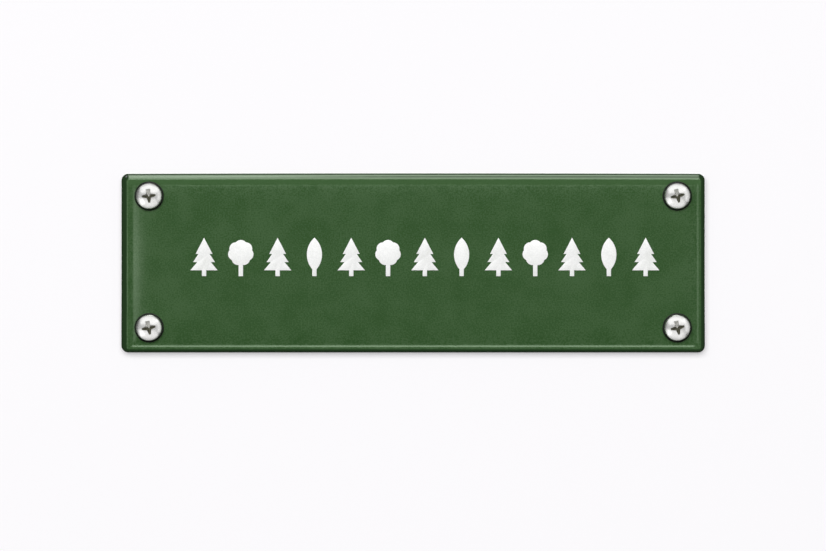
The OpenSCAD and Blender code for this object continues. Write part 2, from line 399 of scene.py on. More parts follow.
class Recipe:
    """One procedural material, built node by node on the object's own coordinates."""

    def __init__(self, name: str) -> None:
        """Starts an empty material with a principled shader.

        Args:
            name: The material's name.
        """
        self.material = bpy.data.materials.new(name)
        self.material.use_nodes = True
        self.tree = self.material.node_tree
        self.tree.nodes.clear()
        self.shader = self.add("ShaderNodeBsdfPrincipled")
        self.output = self.add("ShaderNodeOutputMaterial")
        self.link(self.shader.outputs[0], self.output.inputs["Surface"])
        self.place = self.add("ShaderNodeTexCoord").outputs["Object"]

    def add(self, kind: str, **settings: object) -> bpy.types.Node:
        """Adds a node.

        Args:
            kind: The node's type.
            **settings: Its settings by name.

        Returns:
            The node.
        """
        node = self.tree.nodes.new(kind)
        for name, value in settings.items():
            setattr(node, name, value)
        return node

    def link(self, source: bpy.types.NodeSocket, target: bpy.types.NodeSocket) -> None:
        """Links two sockets."""
        self.tree.links.new(source, target)

    def put(self, value: object, target: bpy.types.NodeSocket) -> None:
        """Gives an input its value.

        Args:
            value: A socket to link, or else a plain value to set, with no alpha in a colour. None
                leaves the input as it is.
            target: The input.
        """
        if isinstance(value, bpy.types.NodeSocket):
            self.link(value, target)
        elif target.type == "RGBA":
            target.default_value = (*value, 1.0)
        elif value is not None:
            target.default_value = value

    def result(self, kind: str, output: int | str, values: dict[int | str, object],
               **settings: object) -> bpy.types.NodeSocket:
        """Adds a node, fills in its inputs and gives one of its outputs.

        Args:
            kind: The node's type.
            output: The output's name or number.
            values: What each input gets, by its name or number.
            **settings: The node's settings by name.

        Returns:
            The output.
        """
        node = self.add(kind, **settings)
        for key, value in values.items():
            self.put(value, node.inputs[key])
        return node.outputs[output]

    def surface(self, **values: object) -> None:
        """Fills in the shader's inputs by name, with underscores for spaces."""
        for name, value in values.items():
            self.put(value, self.shader.inputs[name.replace("_", " ")])

    def noise(self, size: float, detail: float = 2.0, rough: float = 0.5) -> bpy.types.NodeSocket:
        """Adds soft noise round 0.5, from the size of a blotch and the finer layers in it."""
        values = {"Vector": self.place, "Scale": 1 / size, "Detail": detail, "Roughness": rough}
        return self.result("ShaderNodeTexNoise", "Fac", values)

    def specks(self, size: float, radius: float) -> bpy.types.NodeSocket:
        """Scatters specks at a distance, their radius a share of it: 1 on a speck and 0 elsewhere."""
        away = self.result("ShaderNodeTexVoronoi", "Distance", {"Vector": self.place, "Scale": 1 / size})
        return self.ramp(away, radius, 0.6 * radius)

    def ramp(self, value: bpy.types.NodeSocket, start: float, end: float,
             low: float = 0.0, high: float = 1.0) -> bpy.types.NodeSocket:
        """Maps a value from one range to another, smoothly and within its ends."""
        values = {"Value": value, "From Min": start, "From Max": end, "To Min": low, "To Max": high}
        return self.result("ShaderNodeMapRange", "Result", values, interpolation_type="SMOOTHSTEP")

    def maths(self, operation: str, first: object, second: object) -> bpy.types.NodeSocket:
        """Works out one value from two, each a socket or a number."""
        return self.result("ShaderNodeMath", 0, {0: first, 1: second}, operation=operation)

    def blend(self, factor: object, first: object, second: object) -> bpy.types.NodeSocket:
        """Mixes two colours: a factor of 0 gives the first one, and a factor of 1 the second."""
        return self.result("ShaderNodeMix", 2, {0: factor, 6: first, 7: second}, data_type="RGBA")

    def relief(self, height: bpy.types.NodeSocket, depth: float,
               under: bpy.types.NodeSocket | None = None) -> bpy.types.NodeSocket:
        """Turns a height of 0 to 1 into a normal, from its real depth and the normal under it."""
        values = {"Height": height, "Distance": depth, "Strength": 1.0, "Normal": under}
        return self.result("ShaderNodeBump", "Normal", values)

    def attribute(self, name: str) -> bpy.types.NodeSocket:
        """Reads a number that is stored at the mesh's vertices."""
        return self.result("ShaderNodeAttribute", "Fac", {}, attribute_name=name)


class Finish:
    """A finish whose material is built once and then shared."""

    name: str = "finish"

    def material(self) -> bpy.types.Material:
        """Gives the finish's material, and builds it at the first call."""
        found = bpy.data.materials.get(self.name)
        return found or self.build(Recipe(self.name)).material

    def build(self, recipe: Recipe) -> Recipe:
        """Adds the finish's nodes to an empty recipe and returns it."""
        raise NotImplementedError

    def coat(self, node: bpy.types.Object) -> None:
        """Puts the finish on a CAD node."""
        for slot in node.material_slots:
            slot.material = self.material()
        LOG.info("%s: finished as %s", node.name, self.name)


@dataclass(frozen=True)
class GreenEnamel(Finish):
    """Glossy green vitreous enamel, clouded, with a painted highlight under the top bead and painted shade on
    the rolled edge.
    """

    name: str = "glossy_green_enamel"
    dark: Colour = (0.028, 0.0765, 0.0205)
    light: Colour = (0.050, 0.1075, 0.040)
    # painted shade: the darker green of the rolled edge
    edge: Colour = (0.0155, 0.041, 0.013)
    # painted highlight: the lighter green of the strip under the top bead
    painted_sheen_colour: Colour = (0.060, 0.132, 0.047)
    gloss: Colour = (0.8, 1.0, 0.75)
    cloud_size: float = 9.0 * MM
    cloud_share: float = 0.32
    grain_size: float = 0.5 * MM
    grain_depth: float = 0.0015 * MM
    tone_range: Point = (0.375, 0.625)
    painted_sheen_share: float = 0.75
    edge_size: float = 3.0 * MM
    edge_spread: float = 0.12
    painted_edge_shade_range: Point = (0.0, 0.3)
    peel_size: float = 2.2 * MM
    peel_depth: float = 0.003 * MM
    roughness: Point = (0.11, 0.16)
    ior: float = 1.6

    def build(self, recipe: Recipe) -> Recipe:
        """Adds grain, clouds, a painted highlight under the top bead, painted shade on the rolled edge and
        orange peel.
        """
        clouds = recipe.maths("MULTIPLY", recipe.noise(self.cloud_size, detail=4), self.cloud_share)
        grain = recipe.noise(self.grain_size, detail=2)
        tone = recipe.maths("ADD", clouds, recipe.maths("MULTIPLY", grain, 1 - self.cloud_share))
        body = recipe.blend(recipe.ramp(tone, *self.tone_range), self.dark, self.light)
        # Painted highlight: a lighter strip just under the top bead.
        painted_sheen = recipe.ramp(recipe.attribute("painted_sheen"), 0.0, 1.0, 0.0, self.painted_sheen_share)
        body = recipe.blend(painted_sheen, body, self.painted_sheen_colour)
        # Painted shade: the rolled edge darkens towards its side, a little unevenly.
        uneven = recipe.maths("MULTIPLY", recipe.noise(self.edge_size), self.edge_spread)
        uneven = recipe.maths("SUBTRACT", uneven, self.edge_spread / 2)
        painted_edge_shade = recipe.ramp(recipe.maths("ADD", recipe.attribute("roll"), uneven), *self.painted_edge_shade_range)
        peel = recipe.relief(recipe.noise(self.peel_size, detail=1), self.peel_depth)
        recipe.surface(
            Base_Color=recipe.blend(painted_edge_shade, body, self.edge),
            Roughness=recipe.ramp(grain, 0.3, 0.7, *self.roughness),
            IOR=self.ior,
            Specular_Tint=self.gloss,
            Normal=recipe.relief(grain, self.grain_depth, peel),
        )
        return recipe


@dataclass(frozen=True)
class GroundEnamel(Finish):
    """Dark blue-black ground enamel with pale specks, on the back of the plate."""

    name: str = "speckled_ground_enamel"
    dark: Colour = (0.010, 0.012, 0.017)
    light: Colour = (0.022, 0.026, 0.036)
    speck: Colour = (0.32, 0.34, 0.37)
    cloud_size: float = 8.0 * MM
    fine_specks: Point = (1.1 * MM, 0.16)
    fine_share: float = 0.5
    coarse_specks: Point = (3.4 * MM, 0.09)
    peel_size: float = 1.8 * MM
    peel_depth: float = 0.02 * MM
    roughness: Point = (0.2, 0.36)
    ior: float = 1.6

    def build(self, recipe: Recipe) -> Recipe:
        """Adds clouds, two sizes of specks and orange peel."""
        clouds = recipe.noise(self.cloud_size, detail=4)
        body = recipe.blend(recipe.ramp(clouds, 0.35, 0.7), self.dark, self.light)
        faint = recipe.maths("MULTIPLY", recipe.specks(*self.fine_specks), self.fine_share)
        fine = recipe.blend(faint, body, self.speck)
        recipe.surface(
            Base_Color=recipe.blend(recipe.specks(*self.coarse_specks), fine, self.speck),
            Roughness=recipe.ramp(clouds, 0.3, 0.7, *self.roughness),
            IOR=self.ior,
            Normal=recipe.relief(recipe.noise(self.peel_size), self.peel_depth),
        )
        return recipe


@dataclass(frozen=True)
class BareSteel(Finish):
    """Cold-rolled sheet steel, bare at the rim's back edge, with a first bloom of rust."""

    name: str = "bare_sheet_steel"
    bright: Colour = (0.50, 0.50, 0.51)
    dull: Colour = (0.33, 0.33, 0.34)
    rust: Colour = (0.19, 0.075, 0.028)
    mark_size: float = 0.7 * MM
    mark_depth: float = 0.01 * MM
    rust_size: float = 5.0 * MM
    rust_range: Point = (0.52, 0.68)
    metallic: Point = (1.0, 0.15)
    roughness: Point = (0.38, 0.85)

    def build(self, recipe: Recipe) -> Recipe:
        """Adds mill marks and rust."""
        marks = recipe.noise(self.mark_size, detail=4)
        bloom = recipe.ramp(recipe.noise(self.rust_size, detail=5, rough=0.7), *self.rust_range)
        recipe.surface(
            Base_Color=recipe.blend(bloom, recipe.blend(marks, self.dull, self.bright), self.rust),
            Metallic=recipe.ramp(bloom, 0.0, 1.0, *self.metallic),
            Roughness=recipe.ramp(bloom, 0.0, 1.0, *self.roughness),
            Normal=recipe.relief(marks, self.mark_depth),
        )
        return recipe


@dataclass(frozen=True)
class PolishedSteel(Finish):
    """Polished stainless steel with turning rings, matt inside its cross recess, with painted shade in three
    wings.
    """

    name: str = "polished_screw_steel"
    bright: Colour = (0.88, 0.88, 0.865)
    dull: Colour = (0.83, 0.83, 0.81)
    matt: Colour = (0.68, 0.68, 0.65)
    # painted shade: the dark colour in three wings of the recess
    painted_shade: Colour = (0.125, 0.125, 0.088)
    rings: float = 9.0
    mark_size: float = 0.9 * MM
    mark_depth: float = 0.0006 * MM
    inside_range: Point = (0.02, 0.12)
    painted_shade_range: Point = (0.0, 0.16)
    metallic: Point = (1.0, 0.4)
    roughness: Point = (0.24, 0.31)
    inside_rough: float = 0.3

    def build(self, recipe: Recipe) -> Recipe:
        """Adds turning rings, fine handling marks, and painted shade in three wings of the recess."""
        across = {"W": recipe.attribute("axis_distance"), "Scale": self.rings, "Detail": 3.0}
        rings = recipe.result("ShaderNodeTexNoise", "Fac", across, noise_dimensions="1D")
        marks = recipe.noise(self.mark_size, detail=2)
        inside = recipe.ramp(recipe.attribute("recess"), *self.inside_range)
        # Painted shade deep in the recess.
        shaded = recipe.ramp(recipe.attribute("painted_shade"), *self.painted_shade_range)
        body = recipe.blend(recipe.ramp(marks, 0.35, 0.7), self.bright, self.dull)
        polish = recipe.ramp(marks, 0.3, 0.7, *self.roughness)
        recipe.surface(
            Base_Color=recipe.blend(shaded, recipe.blend(inside, body, self.matt), self.painted_shade),
            Metallic=recipe.ramp(inside, 0.0, 1.0, *self.metallic),
            Roughness=recipe.maths("ADD", polish, recipe.maths("MULTIPLY", inside, self.inside_rough)),
            Normal=recipe.relief(marks, self.mark_depth, recipe.relief(rings, self.mark_depth)),
        )
        return recipe


@dataclass(frozen=True)
class CloudedFinish(Finish):
    """A plain material in one colour, with clouds of a second one and a fine grain."""

    base: Colour = (0.5, 0.5, 0.5)
    cloud: Colour = (0.6, 0.6, 0.6)
    cloud_size: float = 3.0 * MM
    cloud_detail: float = 3.0
    cloud_range: Point = (0.35, 0.7)
    grain_size: float = 0.4 * MM
    grain_detail: float = 2.0
    grain_rough: float = 0.5
    grain_depth: float = 0.003 * MM
    grain_range: Point = (0.3, 0.7)
    roughness: Point = (0.3, 0.4)
    ior: float = 1.5

    def build(self, recipe: Recipe) -> Recipe:
        """Adds the clouds, and a grain that turns up in the roughness and the relief."""
        clouds = recipe.noise(self.cloud_size, self.cloud_detail)
        grain = recipe.noise(self.grain_size, self.grain_detail, self.grain_rough)
        recipe.surface(
            Base_Color=recipe.blend(recipe.ramp(clouds, *self.cloud_range), self.base, self.cloud),
            Roughness=recipe.ramp(grain, *self.grain_range, *self.roughness),
            IOR=self.ior,
            Normal=recipe.relief(grain, self.grain_depth),
        )
        return recipe


@dataclass(frozen=True)
class WhiteEnamel(CloudedFinish):
    """Glossy white vitreous enamel with faint clouds and a fine grain."""

    name: str = "glossy_white_enamel"
    base: Colour = (0.90, 0.905, 0.895)
    cloud: Colour = (0.84, 0.85, 0.83)
    cloud_range: Point = (0.45, 0.75)
    roughness: Point = (0.22, 0.32)
    ior: float = 1.6


@dataclass(frozen=True)
class MouldedRubber(CloudedFinish):
    """Black moulded rubber, with a little chalky bloom."""

    name: str = "moulded_washer_rubber"
    base: Colour = (0.0025, 0.0028, 0.0022)
    cloud: Colour = (0.007, 0.0075, 0.0065)
    cloud_size: float = 1.6 * MM
    cloud_detail: float = 4.0
    cloud_range: Point = (0.4, 0.75)
    grain_size: float = 0.12 * MM
    grain_depth: float = 0.006 * MM
    roughness: Point = (0.55, 0.7)
    ior: float = 1.45


@dataclass(frozen=True)
class DustyRubber(MouldedRubber):
    """The spacers' rubber, duller and dusty."""

    name: str = "dusty_spacer_rubber"
    base: Colour = (0.012, 0.012, 0.012)
    cloud: Colour = (0.035, 0.034, 0.033)
    roughness: Point = (0.7, 0.85)


@dataclass(frozen=True)
class GreyNylon(CloudedFinish):
    """Grey injection-moulded nylon, slightly milky and scuffed."""

    name: str = "milky_grey_nylon"
    base: Colour = (0.40, 0.41, 0.42)
    cloud: Colour = (0.52, 0.53, 0.54)
    cloud_size: float = 4.0 * MM
    grain_size: float = 0.35 * MM
    grain_detail: float = 4.0
    grain_rough: float = 0.65
    grain_depth: float = 0.012 * MM
    grain_range: Point = (0.35, 0.7)
    roughness: Point = (0.38, 0.58)
    ior: float = 1.53


# Sub-assemblies


@dataclass
class EnamelPlate:
    """The pressed plate: steel between a green coat on the front and a dark one on the back."""

    body: str
    low: Vector
    high: Vector
    edge_r: float = 1.9 * MM
    edge_steps: int = 12
    face_corner_r: float = 0.5 * MM
    corner_steps: int = 10
    press_shift: Vector = field(default_factory=lambda: Vector((0.3, 0, -0.5)) * MM)
    press_draw: Vector = field(default_factory=lambda: Vector((0.09, 0, -0.1)) * MM)
    coat_t: float = 0.3 * MM
    bead_h: float = 0.16 * MM
    bead_w: float = 1.6 * MM
    bead_steps: int = 9
    dish_depth: float = 0.24 * MM
    dish_w: float = 9.0 * MM
    dish_steps: int = 8
    dish_spread: float = 1.4
    painted_sheen_middle: float = 0.8
    bow: float = 0.15 * MM
    mesh_pitch: float = 2.0 * MM
    wave_size: float = 14.0 * MM
    wave_depth: float = 0.02 * MM
    hole_d: float = 5.4 * MM
    hole_sides: int = 64
    drill_l: float = 20.0 * MM

    def crest_y(self) -> float:
        """Gives the depth of the rolled edge's crest."""
        return self.low.y + self.dish_depth - self.bead_h

    def middle(self) -> Vector:
        """Gives the middle of the green coat's box."""
        return (self.low + self.high) / 2

    def lift(self, inset: float) -> float:
        """Gives the enamel's height over the rolled edge's crest.

        Args:
            inset: The distance inwards from the crest.

        Returns:
            The height: down behind the bead, and up again to the flat face.
        """
        if inset < self.bead_w:
            return -self.bead_h * math.sin(inset / self.bead_w * math.pi / 2) ** 2
        share = min(1.0, (inset - self.bead_w) / self.dish_w)
        return self.dish_depth * (1 - (1 - share) ** 3) - self.bead_h

    def insets(self) -> list[float]:
        """Lists the distances inwards from the edge's crest at which the face changes height."""
        bead = [self.bead_w * i / self.bead_steps for i in range(1, self.bead_steps + 1)]
        shares = [(i / self.dish_steps) ** self.dish_spread for i in range(1, self.dish_steps + 1)]
        return bead + [self.bead_w + self.dish_w * share for share in shares]

    def green_coat(self, holes: list[Vector]) -> Workpiece:
        """Makes the green coat with its rolled edge, bead and holes.

        Args:
            holes: The centres of the plate's holes.

        Returns:
            The coat.
        """
        crest_y = self.crest_y()
        coat = Workpiece.box("green_coat", Vector((self.low.x, crest_y, self.low.z)), self.high)
        coat.edit()
        coat.pick_edges(lambda a, b: abs(a.y - b.y) > self.edge_r)
        corner_r = self.edge_r + self.face_corner_r
        bpy.ops.mesh.bevel(offset=corner_r, segments=self.corner_steps, affect="EDGES")
        coat.pick_edges(lambda a, b: max(a.y, b.y) < crest_y + self.coat_t)
        bpy.ops.mesh.bevel(offset=self.edge_r, segments=self.edge_steps, affect="EDGES", clamp_overlap=False)
        self.press(coat)
        coat.pick_faces(lambda middle, normal: normal.y > FACING)
        bpy.ops.mesh.delete(type="FACE")
        self.form_face(coat)
        for axis in (Vector((1, 0, 0)), Vector((0, 0, 1))):
            start, end = self.low.dot(axis), self.high.dot(axis)
            count = int((end - start) / self.mesh_pitch)
            coat.cut_planes([start + (end - start) * i / count for i in range(1, count)], axis)
        coat.rest()
        self.add_waves(coat)
        self.sag(coat)
        coat.modify("SOLIDIFY", thickness=self.coat_t, offset=-1.0)
        for hole in holes:
            coat.subtract(self.drill(hole))
        self.mark_zones(coat)
        coat.smooth()
        return coat

    def press(self, coat: Workpiece) -> None:
        """Shifts and draws the rolled edge, more towards its crest, as the press left it.

        Args:
            coat: The coat, in edit mode.
        """
        half = (self.high - self.low) / 2
        for step in range(self.edge_steps):
            near, middle, far = (math.cos(math.pi / 2 * (step + i) / self.edge_steps) for i in (0, 0.5, 1))
            level = self.crest_y() + self.edge_r * (1 - middle)
            share = near**2 - far**2
            coat.pick_verts(lambda v: v.y < level)
            smaller = [1 - self.press_draw[i] / half[i] * share for i in (0, 2)]
            bpy.ops.transform.resize(value=(smaller[0], 1, smaller[1]), center_override=self.middle())
            bpy.ops.transform.translate(value=self.press_shift * share)

    def form_face(self, coat: Workpiece) -> None:
        """Insets the flat face ring by ring, down behind the bead and up through the dish.

        Args:
            coat: The coat, in edit mode.
        """
        centre = self.middle()
        done = 0.0
        for inset in self.insets():
            coat.pick_faces(lambda middle, normal: normal.y < -FACING
                            and max(abs(middle.x - centre.x), abs(middle.z - centre.z)) < self.edge_r)
            bpy.ops.mesh.inset(thickness=inset - done, depth=self.lift(inset) - self.lift(done))
            left = self.face_corner_r - inset
            if left > 0 and inset + (inset - done) > self.face_corner_r:
                coat.keep_short_edges(left)
                bpy.ops.mesh.merge(type="COLLAPSE")
            done = inset

    def mark_zones(self, coat: Workpiece) -> None:
        """Marks how far round the rolled edge a place lies and how near the groove under the top bead, for
        painted shade and a painted highlight.

        Args:
            coat: The finished coat.
        """
        low, high = self.low, self.high
        inner = Vector((self.edge_r, 0, self.edge_r)) + self.press_draw
        first, last = low + inner + self.press_shift, high - inner + self.press_shift
        corner = self.face_corner_r / self.edge_r
        groove = high.z - self.edge_r - self.painted_sheen_middle * self.bead_w

        def roll(place: Vector) -> float:
            """Gives the share of the roll at one place, from 0 at its crest to 1 at its side."""
            out_x = max((first.x - place.x) / (first.x - low.x), (place.x - last.x) / (high.x - last.x))
            out_z = max((first.z - place.z) / (first.z - low.z), (place.z - last.z) / (high.z - last.z))
            return min(1.0, max(0.0, math.hypot(max(out_x + corner, 0), max(out_z + corner, 0)) - corner))

        # Where the painted shade on the rolled edge falls.
        coat.mark("roll", roll)
        # Where the painted highlight under the top bead lies.
        coat.mark("painted_sheen", lambda place: max(0.0, 1 - abs(place.z - groove) / self.bead_w))

    def add_waves(self, coat: Workpiece) -> None:
        """Gives the face the slight waves of pressed and fired sheet.

        Args:
            coat: The coat, still a single skin.
        """
        face = coat.obj.vertex_groups.new(name="face")
        picked = [vert.index for vert in coat.obj.data.vertices if vert.co.y < self.crest_y()]
        face.add(picked, 1.0, "REPLACE")
        clouds = bpy.data.textures.new("sheet_waves", "CLOUDS")
        clouds.noise_scale = self.wave_size
        coat.modify(
            "DISPLACE", texture=clouds, texture_coords="LOCAL", vertex_group="face",
            direction="Y", strength=self.wave_depth, mid_level=0.5,
        )

    def sag(self, coat: Workpiece) -> None:
        """Bows the plate's top edge, which the press left lower towards its corners.

        Args:
            coat: The coat, still a single skin.
        """
        middle, half = self.middle(), (self.high - self.low) / 2
        for vert in coat.obj.data.vertices:
            rise = max(0.0, (vert.co.z - middle.z) / half.z)
            vert.co.z -= self.bow * rise * ((vert.co.x - middle.x) / half.x) ** 2

    def drill(self, hole: Vector) -> Workpiece:
        """Makes the cutter for one hole, a cylinder through the coat.

        Args:
            hole: The hole's centre.

        Returns:
            The cutter.
        """
        deselect_all()
        bpy.ops.mesh.primitive_cylinder_add(
            vertices=self.hole_sides, radius=self.hole_d / 2, depth=self.drill_l,
            location=hole, rotation=(math.radians(90), 0, 0),
        )
        cutter = Workpiece("drill")
        cutter.settle()
        return cutter

    def build(self, frame: dict, holes: list[Vector]) -> None:
        """Makes and dresses the green coat, and finishes the steel and the ground coat.

        Args:
            frame: The loaded frame.
            holes: The centres of the plate's holes.
        """
        self.green_coat(holes).dress(self.body, "green_enamel", GreenEnamel(), "green_enamel")
        BareSteel().coat(frame["nodes"]["steel_plate"])
        GroundEnamel().coat(frame["nodes"]["ground_enamel"])


@dataclass
class TreeRow:
    """The row of white enamel trees across the face."""

    body: str
    count: int = 13
    pitch: float = 12.6 * MM
    middle_x: float = 4.0 * MM
    foot_z: float = -4.9 * MM
    trunk_w: float = 1.5 * MM
    sunk: float = 0.06 * MM
    conifer: tuple[float, float, float] = (13.2 * MM, 9.4 * MM, 2.0 * MM)
    tiers: tuple[int, float, float] = (3, 2.8 * MM, 1.8 * MM)
    crown: tuple[float, float, float] = (12.4 * MM, 8.8 * MM, 4.4 * MM)
    lobes: int = 7
    lobe_sides: int = 48
    leaf_sides: int = 128
    poplar: tuple[float, float, float] = (13.2 * MM, 5.2 * MM, 1.6 * MM)
    edge_w: float = 0.07 * MM

    def trunk(self, top: float, depth: float) -> Workpiece:
        """Makes a trunk of a given height and thickness, its foot at the origin."""
        half_w = self.trunk_w / 2
        return Workpiece.box("trunk", Vector((-half_w, 0, 0)), Vector((half_w, top, depth)))

    def tier(self, half_w: float, foot: float, height: float, depth: float) -> Workpiece:
        """Makes one tier of a conifer.

        Args:
            half_w: Half its width.
            foot: The height of its lower edge.
            height: Its height.
            depth: Its thickness.

        Returns:
            The tier.
        """
        piece = Workpiece.box("tier", Vector((-half_w, foot, 0)), Vector((half_w, foot + height, depth)))
        piece.edit()
        piece.pick_verts(lambda v: v.y > foot + height / 2)
        bpy.ops.transform.resize(value=(0.0, 1.0, 1.0), center_override=(0, foot + height, 0))
        piece.close_seams()
        piece.rest()
        return piece

    def make(self, kind: Tree, depth: float) -> Workpiece:
        """Makes one tree, its foot at the origin and its back at Z = 0.

        Args:
            kind: The kind of tree.
            depth: Its thickness.

        Returns:
            The tree, with soft fired edges.
        """
        if kind is Tree.CONIFER:
            tree_h, tree_w, trunk_h = self.conifer
            tiers, rise, loss = self.tiers
            tier_h = tree_h - trunk_h - (tiers - 1) * rise
            tree = self.trunk(trunk_h + tier_h / 2, depth)
            for i in range(tiers):
                tree.unite(self.tier((tree_w - i * loss) / 2, trunk_h + i * rise, tier_h, depth))
        elif kind is Tree.ROUND:
            tree_h, crown_d, lobe_d = self.crown
            middle = tree_h - crown_d / 2
            tree = self.trunk(middle, depth)
            crown_r = (crown_d - lobe_d / 2) / 2
            tree.unite(Workpiece.round_block("crown", crown_r, self.lobe_sides, (0, middle), depth))
            for at in arc((0, middle), (crown_d - lobe_d) / 2, 90, 450, self.lobes)[1:]:
                tree.unite(Workpiece.round_block("lobe", lobe_d / 2, self.lobe_sides, at, depth))
        else:
            tree_h, leaf_w, trunk_h = self.poplar
            leaf_h = tree_h - trunk_h
            leaf_r = (leaf_h**2 + leaf_w**2) / (4 * leaf_w)
            leaf_y = trunk_h + leaf_h / 2
            offset = leaf_r - leaf_w / 2
            leaf = Workpiece.round_block("leaf", leaf_r, self.leaf_sides, (offset, leaf_y), depth)
            other = Workpiece.round_block("other_side", leaf_r, self.leaf_sides, (-offset, leaf_y), 3 * depth)
            other.place(Matrix.Translation((0, 0, -depth)))
            leaf.modify("BOOLEAN", operation="INTERSECT", solver="EXACT", object=other.obj)
            other.discard()
            tree = self.trunk(leaf_y, depth)
            tree.unite(leaf)
        tree.edit()
        bpy.ops.mesh.select_all(action="SELECT")
        bpy.ops.mesh.dissolve_limited(angle_limit=math.radians(1))
        tree.rest()
        tree.soften_edges(self.edge_w, angle=60, segments=3)
        return tree

    def build(self) -> None:
        """Makes the row as one piece and dresses it."""
        low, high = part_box("white_trees")
        depth = high.y - low.y + self.sunk
        kinds = [Tree.CONIFER, Tree.ROUND, Tree.CONIFER, Tree.POPLAR]
        patterns = {kind: self.make(kind, depth) for kind in Tree}
        row: list[Workpiece] = []
        for i in range(self.count):
            kind = kinds[i % len(kinds)]
            tree = patterns[kind].twin(f"{kind.value}_{i}")
            x = self.middle_x + (i - (self.count - 1) / 2) * self.pitch
            tree.place(facing_out(Vector((x, high.y + self.sunk, self.foot_z))))
            row.append(tree)
        for pattern in patterns.values():
            pattern.discard()
        row[0].join(*row[1:])
        trees = Workpiece("white_tree_row")
        trees.smooth(30)
        trees.dress(self.body, "white_enamel", WhiteEnamel(), "white_trees")


